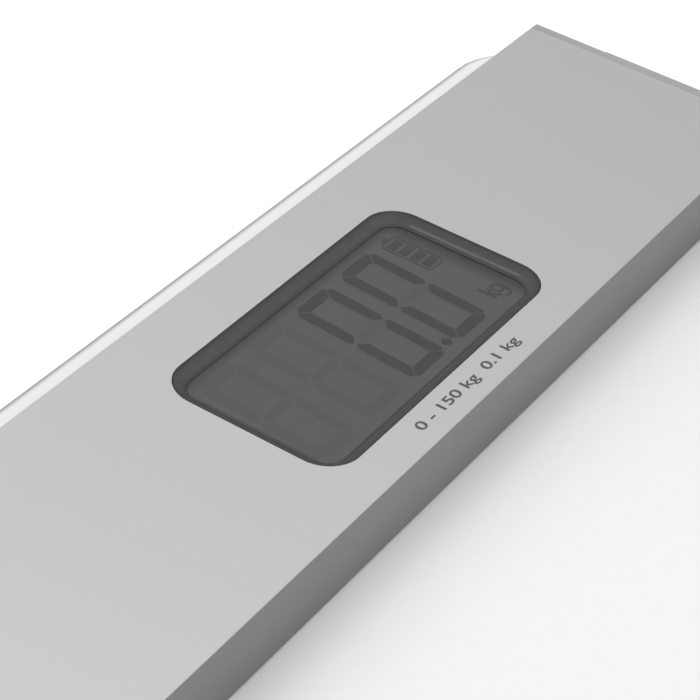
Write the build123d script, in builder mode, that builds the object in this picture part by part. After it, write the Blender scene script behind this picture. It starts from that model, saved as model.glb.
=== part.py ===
"""Digital bathroom scale: a white glass platform that carries a raised aluminium display console.

Millimetres. X runs along the console in reading direction, Y points away from the
person who stands on the scale, Z is up, and the origin is on the floor under the middle.
"""
import os
from math import radians, tan

from build123d import *

os.makedirs("parts", exist_ok=True)

# Platform
platform_width = 320.0
platform_depth = 350.0
platform_corner_radius = 20.0
glass_thickness = 6.0
glass_edge_round = 2.8
glass_underside_height = 16.0

# Console extrusion
console_length = 290.0
console_setback = 18.7
console_wall = 2.0
console_edge_round = 0.3
lip_width = 10.5
lip_thickness = 1.6
screw_boss = 6.0
tape_thickness = 0.5
tape_inset = 1.0
cap_thickness = 3.0
cap_edge = 0.2

# Display stack, from the top face down
window_width = 90.8
window_height = 46.0
window_corner_radius = 8.5
window_near_margin = 9.95
window_far_margin = 15.6
bezel_rim = 0.2
bezel_slope = 2.8
bezel_corner_drop = 3.4
bezel_lip = 0.4
bezel_flange = 3.0
dish_depth = 2.2
lens_thickness = 1.0
lens_overlap = 1.8
lcd_end_margin = 1.2
lcd_side_margin = 2.2
lcd_thickness = 2.8
lcd_holder_wall = 1.8
zebra_height = 3.0
zebra_width = 2.4
zebra_inset = 0.6
zebra_end_gap = 4.0

# Electronics
board_thickness = 1.6
board_side_margin = 0.2
board_left_margin = 47.0
board_right_margin = 11.0
board_screw_inset = 4.0
base_plate_thickness = 1.6
standoff_diameter = 6.0
chip_size = 12.0
chip_height = 1.6
chip_bevel = 0.4
cable_header_size = 13.0
cable_header_gap = 0.7
power_header_length = 6.0
power_header_width = 16.0
power_header_height = 4.0

# Unit button and its switch
button_margin = 25.0
button_diameter = 5.5
button_proud = 0.8
button_bevel = 0.4
button_travel = 1.2
button_flange_thickness = 1.0
button_stem_diameter = 4.0
button_free_play = 0.3
switch_width = 6.0
switch_body_depth = 4.0
switch_plunger = 1.2
switch_plunger_size = 2.0

# Battery drawer
cell_diameter = 10.4
cell_length = 44.5
cell_nub_diameter = 3.8
cell_nub_length = 0.9
cell_spacing = 0.4
cell_headroom = 0.5
drawer_wall = 1.4
drawer_floor = 1.1
drawer_rear_wall = 1.3
drawer_side_height = 7.0
drawer_front_thickness = 2.5
drawer_front_overlap = 3.0
drawer_front_margin = 0.9
drawer_front_round = 0.8
drawer_pull_width = 14.0
drawer_pull_height = 2.0
drawer_pull_reach = 2.0
drawer_pull_round = 0.6
drawer_window = 7.0
drawer_window_rim = 1.1
link_thickness = 0.5
bay_back_thickness = 2.5
bay_rail_thickness = 2.0
bay_back_margin = 1.4
contact_gap = 2.2
contact_diameter = 5.0
contact_round = 0.8
lead_diameter = 1.4

# Feet and load cells
foot_inset = 40.0
foot_housing_radius = 30.0
foot_housing_flare = 1.5
foot_housing_wall = 2.2
foot_housing_roof = 2.0
foot_housing_round = 1.2
foot_skirt_clearance = 4.5
foot_tape_thickness = 0.8
foot_tape_width = 10.0
load_cell_size = 34.0
load_cell_thickness = 2.6
load_cell_slot = 2.4
load_cell_frame = 5.0
load_cell_tongue = 11.0
gauge_length = 8.0
gauge_width = 5.0
gauge_thickness = 0.3
foot_post_width = 4.0
foot_pad_radius = 22.0
foot_pad_thickness = 2.0
foot_pad_round = 0.7
foot_base_radius = 24.0
foot_base_thickness = 3.0
foot_boss_diameter = 9.0
foot_boss_height = 3.0

# Load cell cables
cable_diameter = 2.2
cable_drop = 4.0
cable_start = 19.0
cable_hole_margin = 19.0
cable_hole_offset = -0.6
cable_spread = 2.6
glass_hole_diameter = 20.0
grommet_bore = 13.0
grommet_flange = 2.0
grommet_flange_thickness = 1.2
clip_length = 8.0
clip_wall = 1.2
clip_round = 0.8

# Fasteners
screw_diameter = 2.5
screw_length = 9.0
screw_head_diameter = 5.0
screw_head_height = 1.3
screw_drive_width = 0.9
screw_drive_depth = 0.6

# Clearances
slip = 0.2
running = 0.3
screw_clearance = 0.25

# Console size: the window with its margins across, the cells with their drawer in height
console_depth = window_near_margin + window_height + window_far_margin
drawer_stack = running + drawer_floor + cell_diameter + cell_headroom
console_height = lip_thickness + base_plate_thickness + drawer_stack + console_wall

# Display sizes, from the window in
dish_width = window_width - 2 * (slip + bezel_rim)
dish_height = window_height - 2 * (slip + bezel_rim)
view_width = dish_width - 2 * bezel_slope
view_height = dish_height - 2 * bezel_slope
dish_corner = window_corner_radius - slip - bezel_rim
view_corner = window_corner_radius - bezel_corner_drop
lens_width = view_width + 2 * lens_overlap
lens_height = view_height + 2 * lens_overlap
lcd_width = view_width + 2 * lcd_end_margin
lcd_height = view_height + 2 * lcd_side_margin
holder_width = lcd_width + 2 * slip
holder_height = lcd_height + 2 * slip
holder_half = holder_width / 2 + lcd_holder_wall
board_left_reach = holder_half + board_left_margin
board_right_reach = holder_half + board_right_margin
button_x = -holder_half - button_margin
cable_hole_x = -holder_half - cable_hole_margin

# Heights
glass_bottom = glass_underside_height
glass_top = glass_bottom + glass_thickness
console_bottom = glass_top + tape_thickness
console_top = console_bottom + console_height
inner_top = console_top - console_wall
lip_top = console_bottom + lip_thickness
plate_top = lip_top + base_plate_thickness
lens_top = console_top - dish_depth
lcd_top = lens_top - lens_thickness
lcd_bottom = lcd_top - lcd_thickness
board_top = lcd_bottom - zebra_height
board_bottom = board_top - board_thickness

# Console stations along Y
console_far = platform_depth / 2 - console_setback
console_near = console_far - console_depth
console_middle = (console_far + console_near) / 2
inner_far = console_far - console_wall
inner_near = console_near + console_wall
window_y = console_near + window_near_margin + window_height / 2
bay_near = inner_near + screw_boss
bay_far = inner_far - screw_boss
board_near = bay_near + board_side_margin
board_far = window_y + (window_y - board_near)

# Console stations along X
profile_half = console_length / 2 - cap_thickness
profile_length = 2 * profile_half
console_end = console_length / 2


def block(x_range, y_range, z_range, mode=Mode.ADD):
    """A box between two limits on each axis."""
    sizes = [high - low for low, high in (x_range, y_range, z_range)]
    centre = [(high + low) / 2 for low, high in (x_range, y_range, z_range)]
    with Locations(tuple(centre)):
        Box(*sizes, mode=mode)


def save(builder, name):
    """Label a finished piece and write its STEP file."""
    builder.part.label = name
    export_step(builder.part, f"parts/{name}.step")


# Feet stand at the four corners of the platform
foot_x = platform_width / 2 - foot_inset
foot_y = platform_depth / 2 - foot_inset
feet = {
    "front_left": (-foot_x, foot_y),
    "front_right": (foot_x, foot_y),
    "rear_left": (-foot_x, -foot_y),
    "rear_right": (foot_x, -foot_y),
}

# Platform glass, with the hole that the cables pass through
cable_hole = (cable_hole_x, window_y + cable_hole_offset)
with BuildPart() as platform_glass:
    with BuildSketch(Plane.XY.offset(glass_bottom)):
        RectangleRounded(platform_width, platform_depth, platform_corner_radius)
    extrude(amount=glass_thickness)
    rim = platform_glass.faces().sort_by(Axis.Z)
    fillet(rim[0].edges() + rim[-1].edges(), radius=glass_edge_round)
    with BuildSketch(Plane.XY.offset(glass_bottom)):
        with Locations(cable_hole):
            Circle(glass_hole_diameter / 2)
    extrude(amount=glass_thickness, mode=Mode.SUBTRACT)
save(platform_glass, "platform_glass")

# Console extrusion: a channel with inward lips and a screw boss in each lower corner
screw_z = lip_top + screw_boss / 2
screw_near = inner_near + screw_boss / 2
screw_far = inner_far - screw_boss / 2
boss_bore = screw_diameter + 2 * screw_clearance
button_y = console_far + button_proud
boss_top = lip_top + screw_boss
button_z = (boss_top + inner_top) / 2
with BuildPart() as console_profile:
    with BuildSketch(Plane.YZ.offset(-profile_half)):
        with Locations((console_middle, (console_bottom + console_top) / 2)):
            Rectangle(console_depth, console_height)
        upper = vertices().group_by(Axis.Z)[-1]
        fillet(upper, radius=console_edge_round)
        with Locations((console_middle, (lip_top + inner_top) / 2)):
            Rectangle(console_depth - 2 * console_wall, inner_top - lip_top, mode=Mode.SUBTRACT)
        with Locations((console_middle, (console_bottom + lip_top) / 2)):
            Rectangle(console_depth - 2 * lip_width, lip_thickness, mode=Mode.SUBTRACT)
        with Locations((screw_near, screw_z), (screw_far, screw_z)):
            Rectangle(screw_boss, screw_boss)
            Circle(boss_bore / 2, mode=Mode.SUBTRACT)
    extrude(amount=profile_length)
    with BuildSketch(Plane.XY.offset(inner_top)):
        with Locations((0, window_y)):
            RectangleRounded(window_width, window_height, window_corner_radius)
    extrude(amount=console_wall, mode=Mode.SUBTRACT)
    with BuildSketch(Plane((button_x, inner_far, button_z), x_dir=(1, 0, 0), z_dir=(0, 1, 0))):
        Circle(button_diameter / 2 + running)
    extrude(amount=console_wall, mode=Mode.SUBTRACT)
save(console_profile, "console_profile")

# Bonding tape between the console and the glass
with BuildPart() as console_tape:
    with BuildSketch(Plane.XY.offset(glass_top)):
        with Locations((0, console_middle)):
            Rectangle(console_length - 2 * tape_inset, console_depth - 2 * tape_inset)
            Rectangle(console_length - 2 * lip_width, console_depth - 2 * lip_width, mode=Mode.SUBTRACT)
    extrude(amount=tape_thickness)
save(console_tape, "console_tape")

# Drawer stations: the cells lie along X, side by side, behind the right end cap
drawer_inner = 2 * cell_diameter + cell_spacing + 2 * slip
drawer_half = drawer_inner / 2 + drawer_wall
drawer_bottom = plate_top + running
drawer_floor_top = drawer_bottom + drawer_floor
cell_z = drawer_floor_top + cell_diameter / 2
cell_offset = (cell_diameter + cell_spacing) / 2
cell_front = console_end - link_thickness
cell_rear = cell_front - cell_length
drawer_rear = cell_rear - slip - drawer_rear_wall
bay_back = drawer_rear - contact_gap


# End caps: the right one has the opening that the drawer slides through
def end_cap(side, opening):
    """The cover plate of one end of the console, side -1 for left and 1 for right."""
    inner_face = side * profile_half
    outer_face = side * console_end
    with BuildPart() as cap:
        with BuildSketch(Plane.YZ.offset(min(inner_face, outer_face))):
            with Locations((console_middle, (console_bottom + console_top) / 2)):
                Rectangle(console_depth, console_height)
            upper_corners = vertices().group_by(Axis.Z)[-1]
            fillet(upper_corners, radius=console_edge_round)
        extrude(amount=cap_thickness)
        outer = cap.faces().filter_by(Axis.X).sort_by(Axis.X)[-1 if side > 0 else 0]
        chamfer(outer.edges(), length=cap_edge)
        for screw_y in (screw_near, screw_far):
            bore = Plane((outer_face, screw_y, screw_z), x_dir=(0, 1, 0), z_dir=(side, 0, 0))
            with Locations(bore):
                CounterBoreHole(
                    radius=boss_bore / 2,
                    counter_bore_radius=screw_head_diameter / 2 + screw_clearance,
                    counter_bore_depth=screw_head_height,
                )
        if opening:
            block(
                (inner_face, outer_face),
                (console_middle - drawer_half - running, console_middle + drawer_half + running),
                (plate_top, inner_top),
                mode=Mode.SUBTRACT,
            )
    return cap


save(end_cap(-1, opening=False), "console_end_cap_left")
save(end_cap(1, opening=True), "console_end_cap_right")

# End cap screws: a slotted head in the counterbore and a shank in the boss
with BuildPart() as end_cap_screws:
    for side in (-1, 1):
        for screw_y in (screw_near, screw_far):
            seat = side * (console_end - screw_head_height)
            head_plane = Plane((seat, screw_y, screw_z), x_dir=(0, 1, 0), z_dir=(side, 0, 0))
            with BuildSketch(head_plane):
                Circle(screw_head_diameter / 2)
            extrude(amount=screw_head_height)
            with BuildSketch(head_plane):
                Circle(screw_diameter / 2)
            extrude(amount=-screw_length)
            with BuildSketch(head_plane.offset(screw_head_height)):
                Rectangle(screw_head_diameter, screw_drive_width)
            extrude(amount=-screw_drive_depth, mode=Mode.SUBTRACT)
save(end_cap_screws, "end_cap_screws")

# Base plate: it lies on the lips, carries the board on standoffs and lets the cables through
board_screws_x = (-board_left_reach + board_screw_inset, board_right_reach - board_screw_inset)
board_screws_y = (board_near + board_screw_inset, board_far - board_screw_inset)
board_screw_places = [(x, y) for x in board_screws_x for y in board_screws_y]
board_bore = screw_diameter + 2 * screw_clearance
with BuildPart() as console_base_plate:
    block(
        (-profile_half + slip, profile_half - slip),
        (bay_near + slip, bay_far - slip),
        (lip_top, plate_top),
    )
    with BuildSketch(Plane.XY.offset(plate_top)):
        with Locations(*board_screw_places):
            Circle(standoff_diameter / 2)
    extrude(amount=board_bottom - plate_top)
    with BuildSketch(Plane.XY.offset(lip_top)):
        with Locations(*board_screw_places):
            Circle(board_bore / 2)
        with Locations(cable_hole):
            Circle(grommet_bore / 2)
    extrude(amount=board_bottom - lip_top, mode=Mode.SUBTRACT)
save(console_base_plate, "console_base_plate")

# Circuit board
with BuildPart() as main_board:
    block((-board_left_reach, board_right_reach), (board_near, board_far), (board_bottom, board_top))
    with BuildSketch(Plane.XY.offset(board_bottom)):
        with Locations(*board_screw_places):
            Circle(board_bore / 2)
    extrude(amount=board_thickness, mode=Mode.SUBTRACT)
save(main_board, "main_board")

# Board screws
board_screw_length = board_top - lip_top
with BuildPart() as board_screws:
    for place in board_screw_places:
        with BuildSketch(Plane.XY.offset(board_top)):
            with Locations(place):
                Circle(screw_head_diameter / 2)
        extrude(amount=screw_head_height)
        with BuildSketch(Plane.XY.offset(board_top)):
            with Locations(place):
                Circle(screw_diameter / 2)
        extrude(amount=-board_screw_length)
        with BuildSketch(Plane.XY.offset(board_top + screw_head_height)):
            with Locations(place):
                Rectangle(screw_head_diameter, screw_drive_width)
        extrude(amount=-screw_drive_depth, mode=Mode.SUBTRACT)
save(board_screws, "board_screws")

# Controller chip under the board
with BuildPart() as controller_chip:
    block(
        (-chip_size / 2, chip_size / 2),
        (window_y - chip_size / 2, window_y + chip_size / 2),
        (board_bottom - chip_height, board_bottom),
    )
    chamfer(controller_chip.faces().sort_by(Axis.Z)[0].edges(), length=chip_bevel)
save(controller_chip, "controller_chip")

# Headers where the load cell cables and the battery leads meet the board
cable_end = plate_top + cable_header_gap
with BuildPart() as cable_header:
    block(
        (cable_hole[0] - cable_header_size / 2, cable_hole[0] + cable_header_size / 2),
        (cable_hole[1] - cable_header_size / 2, cable_hole[1] + cable_header_size / 2),
        (cable_end, board_bottom),
    )
save(cable_header, "cable_header")

with BuildPart() as power_header:
    block(
        (board_right_reach - power_header_length, board_right_reach),
        (console_middle - power_header_width / 2, console_middle + power_header_width / 2),
        (board_top, board_top + power_header_height),
    )
save(power_header, "power_header")

# Display bezel: a dished dark frame that drops into the window from below
with BuildPart() as display_bezel:
    with BuildSketch(Plane.XY.offset(lcd_top)):
        with Locations((0, window_y)):
            RectangleRounded(
                window_width + 2 * bezel_flange,
                window_height + 2 * bezel_flange,
                window_corner_radius + bezel_flange,
            )
    extrude(amount=inner_top - lcd_top)
    with BuildSketch(Plane.XY.offset(inner_top)):
        with Locations((0, window_y)):
            RectangleRounded(window_width - 2 * slip, window_height - 2 * slip, window_corner_radius - slip)
    extrude(amount=console_wall)
    with BuildSketch(Plane.XY.offset(lens_top + bezel_lip)):
        with Locations((0, window_y)):
            RectangleRounded(view_width, view_height, view_corner)
    with BuildSketch(Plane.XY.offset(console_top)):
        with Locations((0, window_y)):
            RectangleRounded(dish_width, dish_height, dish_corner)
    loft(mode=Mode.SUBTRACT)
    with BuildSketch(Plane.XY.offset(lens_top)):
        with Locations((0, window_y)):
            RectangleRounded(view_width, view_height, view_corner)
    extrude(amount=bezel_lip, mode=Mode.SUBTRACT)
    with BuildSketch(Plane.XY.offset(lcd_top)):
        with Locations((0, window_y)):
            Rectangle(lens_width + 2 * slip, lens_height + 2 * slip)
    extrude(amount=lens_thickness, mode=Mode.SUBTRACT)
save(display_bezel, "display_bezel")

# Clear lens seated in the back of the bezel
with BuildPart() as display_lens:
    with BuildSketch(Plane.XY.offset(lcd_top)):
        with Locations((0, window_y)):
            Rectangle(lens_width, lens_height)
    extrude(amount=lens_thickness)
save(display_lens, "display_lens")

# Liquid crystal panel, its holder and the contact strips that link it to the board
with BuildPart() as lcd_panel:
    with BuildSketch(Plane.XY.offset(lcd_bottom)):
        with Locations((0, window_y)):
            Rectangle(lcd_width, lcd_height)
    extrude(amount=lcd_thickness)
save(lcd_panel, "lcd_panel")

with BuildPart() as lcd_holder:
    with BuildSketch(Plane.XY.offset(board_top)):
        with Locations((0, window_y)):
            Rectangle(holder_width + 2 * lcd_holder_wall, holder_height + 2 * lcd_holder_wall)
            Rectangle(holder_width, holder_height, mode=Mode.SUBTRACT)
    extrude(amount=lcd_top - board_top)
save(lcd_holder, "lcd_holder")

zebra_y = lcd_height / 2 - zebra_inset - zebra_width / 2
with BuildPart() as zebra_strips:
    for strip_y in (window_y - zebra_y, window_y + zebra_y):
        block(
            (-lcd_width / 2 + zebra_end_gap, lcd_width / 2 - zebra_end_gap),
            (strip_y - zebra_width / 2, strip_y + zebra_width / 2),
            (board_top, lcd_bottom),
        )
save(zebra_strips, "zebra_strips")

# Side switch at the far edge of the board, its plunger level with the button
switch_height = 2 * (button_z - board_top)
with BuildPart() as unit_switch:
    block(
        (button_x - switch_width / 2, button_x + switch_width / 2),
        (board_far - switch_body_depth, board_far),
        (board_top, board_top + switch_height),
    )
    block(
        (button_x - switch_plunger_size / 2, button_x + switch_plunger_size / 2),
        (board_far, board_far + switch_plunger),
        (button_z - switch_plunger_size / 2, button_z + switch_plunger_size / 2),
    )
save(unit_switch, "unit_switch")

# Unit button in the far wall: cap, stop flange and the stem that reaches the switch
stem_end = board_far + switch_plunger + button_travel + button_free_play
flange_face = inner_far - slip
flange_radius = (inner_top - boss_top) / 2 - running
with BuildPart() as unit_button:
    with BuildSketch(Plane((button_x, flange_face, button_z), x_dir=(1, 0, 0), z_dir=(0, 1, 0))):
        Circle(button_diameter / 2)
    extrude(amount=button_y - flange_face)
    chamfer(unit_button.faces().sort_by(Axis.Y)[-1].edges(), length=button_bevel)
    with BuildSketch(Plane((button_x, flange_face, button_z), x_dir=(1, 0, 0), z_dir=(0, 1, 0))):
        Circle(flange_radius)
    extrude(amount=-button_flange_thickness)
    with BuildSketch(Plane((button_x, flange_face, button_z), x_dir=(1, 0, 0), z_dir=(0, 1, 0))):
        Circle(button_stem_diameter / 2)
    extrude(amount=stem_end - flange_face)
save(unit_button, "unit_button")

# Battery bay on the base plate: a back wall with two rails
rail_inner = drawer_half + running
rail_outer = rail_inner + bay_rail_thickness
rail_top = drawer_floor_top + drawer_side_height
bay_front = profile_half - slip
with BuildPart() as battery_bay:
    block(
        (bay_back - bay_back_thickness, bay_back),
        (console_middle - rail_outer, console_middle + rail_outer),
        (plate_top, cell_z + contact_diameter / 2 + bay_back_margin),
    )
    for side in (-1, 1):
        rail = sorted((console_middle + side * rail_inner, console_middle + side * rail_outer))
        block((bay_back, bay_front), rail, (plate_top, rail_top))
save(battery_bay, "battery_bay")

# Two contacts on the back wall, reaching through the drawer's rear windows to the cells
with BuildPart() as battery_contacts:
    for side in (-1, 1):
        contact_place = (bay_back, console_middle + side * cell_offset, cell_z)
        with BuildSketch(Plane(contact_place, x_dir=(0, 1, 0), z_dir=(1, 0, 0))):
            Circle(contact_diameter / 2)
        extrude(amount=cell_rear - slip - bay_back)
    contact_tips = battery_contacts.faces().filter_by(Axis.X).group_by(Axis.X)[-1]
    fillet(contact_tips.edges(), radius=contact_round)
save(battery_contacts, "battery_contacts")

# Leads from the bay to the board
lead_z = board_top + power_header_height / 2
with BuildPart() as battery_leads:
    for side in (-1, 1):
        lead_place = (board_right_reach, console_middle + side * cell_offset, lead_z)
        with BuildSketch(Plane(lead_place, x_dir=(0, 1, 0), z_dir=(1, 0, 0))):
            Circle(lead_diameter / 2)
        extrude(amount=bay_back - bay_back_thickness - board_right_reach)
save(battery_leads, "battery_leads")

# Battery drawer: floor, sides, windowed rear wall and a front that covers the opening
front_half = drawer_half + drawer_front_overlap
front_bottom = plate_top - drawer_front_margin
front_top = inner_top + drawer_front_margin
front_middle = (front_bottom + front_top) / 2
with BuildPart() as battery_drawer:
    block(
        (drawer_rear, console_end),
        (console_middle - drawer_half, console_middle + drawer_half),
        (drawer_bottom, drawer_floor_top),
    )
    for side in (-1, 1):
        inside = console_middle + side * (drawer_half - drawer_wall)
        wall = sorted((inside, console_middle + side * drawer_half))
        block((drawer_rear, console_end), wall, (drawer_bottom, rail_top))
    block(
        (drawer_rear, drawer_rear + drawer_rear_wall),
        (console_middle - drawer_half, console_middle + drawer_half),
        (drawer_bottom, cell_z + drawer_window / 2 + drawer_window_rim),
    )
    with BuildSketch(Plane.YZ.offset(drawer_rear)):
        with Locations((console_middle - cell_offset, cell_z), (console_middle + cell_offset, cell_z)):
            Circle(drawer_window / 2)
    extrude(amount=drawer_rear_wall, mode=Mode.SUBTRACT)
    block(
        (console_end, console_end + drawer_front_thickness),
        (console_middle - front_half, console_middle + front_half),
        (front_bottom, front_top),
    )
    front = battery_drawer.faces().sort_by(Axis.X)[-1]
    fillet(front.edges(), radius=drawer_front_round)
    block(
        (console_end + drawer_front_thickness, console_end + drawer_front_thickness + drawer_pull_reach),
        (console_middle - drawer_pull_width / 2, console_middle + drawer_pull_width / 2),
        (front_middle - drawer_pull_height / 2, front_middle + drawer_pull_height / 2),
    )
    pull = battery_drawer.faces().sort_by(Axis.X)[-1]
    fillet(pull.edges(), radius=drawer_pull_round)
save(battery_drawer, "battery_drawer")

# Link plate that joins the two cells behind the drawer front
with BuildPart() as battery_link:
    block(
        (console_end - link_thickness, console_end),
        (console_middle - drawer_inner / 2 + slip, console_middle + drawer_inner / 2 - slip),
        (drawer_floor_top + slip, rail_top),
    )
save(battery_link, "battery_link")

# Two AAA cells, laid head to tail
with BuildPart() as battery_cells:
    for side in (-1, 1):
        can_rear = cell_rear if side < 0 else cell_rear + cell_nub_length
        can_length = cell_length - cell_nub_length
        nub_rear = can_rear + can_length if side < 0 else cell_rear
        cell_y = console_middle + side * cell_offset
        with BuildSketch(Plane((can_rear, cell_y, cell_z), x_dir=(0, 1, 0), z_dir=(1, 0, 0))):
            Circle(cell_diameter / 2)
        extrude(amount=can_length)
        with BuildSketch(Plane((nub_rear, cell_y, cell_z), x_dir=(0, 1, 0), z_dir=(1, 0, 0))):
            Circle(cell_nub_diameter / 2)
        extrude(amount=cell_nub_length)
save(battery_cells, "battery_cells")

# Grommet in the glass
with BuildPart() as cable_grommet:
    with BuildSketch(Plane.XY.offset(glass_bottom - grommet_flange_thickness)):
        with Locations(cable_hole):
            Circle(glass_hole_diameter / 2 + grommet_flange)
    extrude(amount=grommet_flange_thickness)
    with BuildSketch(Plane.XY.offset(glass_bottom)):
        with Locations(cable_hole):
            Circle(glass_hole_diameter / 2 - slip)
    extrude(amount=glass_thickness)
    with BuildSketch(Plane.XY.offset(glass_top)):
        with Locations(cable_hole):
            Circle(glass_hole_diameter / 2 + grommet_flange)
    extrude(amount=grommet_flange_thickness)
    with BuildSketch(Plane.XY.offset(glass_bottom - grommet_flange_thickness)):
        with Locations(cable_hole):
            Circle(grommet_bore / 2)
    extrude(amount=glass_thickness + 2 * grommet_flange_thickness, mode=Mode.SUBTRACT)
save(cable_grommet, "cable_grommet")

# Feet: heights of the pieces between the floor and the glass
pad_top = foot_pad_thickness
base_top = pad_top + foot_base_thickness
cell_bottom = base_top + foot_boss_height
cell_top = cell_bottom + load_cell_thickness
tape_bottom = glass_bottom - foot_tape_thickness
roof_bottom = tape_bottom - foot_housing_roof
cable_z = glass_bottom - cable_drop
housing_bore = foot_housing_radius - foot_housing_wall
frame_middle = (load_cell_size - load_cell_frame) / 2

# Cable routes under the glass: points between each foot and its place in the hole
route_points = {
    "front_left": [],
    "front_right": [(66, 135), (24, 118), (-24, 110)],
    "rear_left": [(-120, -84), (-112, -40), (-116, 6), (-104, 50), (-88, 92)],
    "rear_right": [(120, -84), (106, -42), (74, -6), (34, 32), (-10, 60), (-46, 92)],
}
column_side = {
    "front_left": (-1, 1),
    "front_right": (1, 1),
    "rear_left": (-1, -1),
    "rear_right": (1, -1),
}
routes = {}
for place, (centre_x, centre_y) in feet.items():
    column_x = cable_hole[0] + column_side[place][0] * cable_spread
    column_y = cable_hole[1] + column_side[place][1] * cable_spread
    route = [Vector(x, y, cable_z) for x, y in route_points[place]]
    route += [Vector(column_x, column_y, cable_z), Vector(column_x, column_y, cable_end)]
    foot_middle = Vector(centre_x, centre_y, cable_z)
    start = foot_middle + (route[0] - foot_middle).normalized() * cable_start
    routes[place] = [start, *route]

for place, (centre_x, centre_y) in feet.items():
    # Rubber pad on the floor
    with BuildPart() as foot_pad:
        with BuildSketch():
            with Locations((centre_x, centre_y)):
                Circle(foot_pad_radius)
        extrude(amount=foot_pad_thickness)
        fillet(foot_pad.faces().sort_by(Axis.Z)[0].edges(), radius=foot_pad_round)
    save(foot_pad, f"foot_pad_{place}")

    # Rigid foot base with the boss that pushes on the load cell
    with BuildPart() as foot_base:
        with BuildSketch(Plane.XY.offset(pad_top)):
            with Locations((centre_x, centre_y)):
                Circle(foot_base_radius)
        extrude(amount=foot_base_thickness)
        fillet(foot_base.edges().filter_by(GeomType.CIRCLE), radius=foot_pad_round)
        with BuildSketch(Plane.XY.offset(base_top)):
            with Locations((centre_x, centre_y)):
                Circle(foot_boss_diameter / 2)
        extrude(amount=foot_boss_height)
    save(foot_base, f"foot_base_{place}")

    # Load cell: a square steel frame with a tongue that reaches its middle
    tongue_start = load_cell_size / 2 - load_cell_frame
    tongue_end = -tongue_start + load_cell_slot
    with BuildPart() as load_cell:
        with BuildSketch(Plane.XY.offset(cell_bottom)):
            with Locations((centre_x, centre_y)):
                Rectangle(load_cell_size, load_cell_size)
                Rectangle(2 * tongue_start, 2 * tongue_start, mode=Mode.SUBTRACT)
            with Locations((centre_x + (tongue_start + tongue_end) / 2, centre_y)):
                Rectangle(tongue_start - tongue_end, load_cell_tongue)
        extrude(amount=load_cell_thickness)
    save(load_cell, f"load_cell_{place}")

    # Housing: a flared dish glued to the glass, with two posts that bear on the load cell
    with BuildPart() as foot_housing:
        with BuildSketch(Plane.XY.offset(foot_skirt_clearance)):
            with Locations((centre_x, centre_y)):
                Circle(foot_housing_radius)
        with BuildSketch(Plane.XY.offset(tape_bottom)):
            with Locations((centre_x, centre_y)):
                Circle(foot_housing_radius + foot_housing_flare)
        loft()
        fillet(foot_housing.faces().sort_by(Axis.Z)[0].edges(), radius=foot_housing_round)
        with BuildSketch(Plane.XY.offset(foot_skirt_clearance)):
            with Locations((centre_x, centre_y)):
                Circle(housing_bore)
        extrude(amount=roof_bottom - foot_skirt_clearance, mode=Mode.SUBTRACT)
        for side in (-1, 1):
            post_x = centre_x + side * frame_middle
            block(
                (post_x - foot_post_width / 2, post_x + foot_post_width / 2),
                (centre_y - load_cell_size / 2, centre_y + load_cell_size / 2),
                (cell_top, roof_bottom),
            )
        exit_plane = Plane(routes[place][0], z_dir=routes[place][1] - routes[place][0])
        with BuildSketch(exit_plane):
            Circle(cable_diameter / 2 + running)
        extrude(amount=foot_housing_radius + foot_housing_flare - cable_start, mode=Mode.SUBTRACT)
    save(foot_housing, f"foot_housing_{place}")

# Strain gauges on the load cell tongues
with BuildPart() as strain_gauges:
    for centre_x, centre_y in feet.values():
        block(
            (centre_x - gauge_length / 2, centre_x + gauge_length / 2),
            (centre_y - gauge_width / 2, centre_y + gauge_width / 2),
            (cell_top, cell_top + gauge_thickness),
        )
save(strain_gauges, "strain_gauges")

# Adhesive rings between the housings and the glass
with BuildPart() as foot_tapes:
    for centre in feet.values():
        with BuildSketch(Plane.XY.offset(tape_bottom)):
            with Locations(centre):
                Circle(foot_housing_radius)
                Circle(foot_housing_radius - foot_tape_width, mode=Mode.SUBTRACT)
        extrude(amount=foot_tape_thickness)
save(foot_tapes, "foot_tapes")

# Cables: each is one tube along its route
bend_share = 0.45


def corner_radii(points):
    """The largest bend at each inner point that leaves a straight stretch on both of its runs."""
    radii = []
    for before, here, after in zip(points, points[1:], points[2:]):
        run_in = here - before
        run_out = after - here
        half_turn = radians(run_in.get_angle(run_out)) / 2
        radii.append(bend_share * min(run_in.length, run_out.length) / tan(half_turn))
    return radii


for place, route in routes.items():
    with BuildPart() as cable:
        with BuildLine() as path:
            FilletPolyline(*route, radius=corner_radii(route))
        with BuildSketch(Plane(route[0], z_dir=route[1] - route[0])):
            Circle(cable_diameter / 2)
        sweep(path=path.wires()[0])
    save(cable, f"cable_{place}")
    bends = [round(radius, 1) for radius in corner_radii(route)]
    print(place, "cable length", round(path.wires()[0].length, 1), "bend radii", bends)

# Adhesive clips that hold the cables to the glass, one in the middle of each run between two bends
clip_width = cable_diameter + 2 * (running + clip_wall)
clip_bottom = cable_z - cable_diameter / 2 - running - clip_wall
with BuildPart() as cable_clips:
    for route in routes.values():
        for first, second in list(zip(route, route[1:]))[1:-2]:
            spot = (first + second) / 2
            clip_plane = Plane(Vector(spot.X, spot.Y, clip_bottom), x_dir=second - first, z_dir=(0, 0, 1))
            with BuildSketch(clip_plane):
                Rectangle(clip_length, clip_width)
            extrude(amount=glass_bottom - clip_bottom)
            bore_plane = Plane(spot, z_dir=second - first)
            with BuildSketch(bore_plane):
                Circle(cable_diameter / 2 + running)
            extrude(amount=clip_length, both=True, mode=Mode.SUBTRACT)
    clip_undersides = cable_clips.faces().group_by(Axis.Z)[0]
    fillet(clip_undersides.edges(), radius=clip_round)
save(cable_clips, "cable_clips")
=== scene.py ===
"""Looks of a digital bathroom scale: a satin white glass platform that carries a raised
aluminium display console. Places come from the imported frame, and lengths are in metres."""

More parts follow.
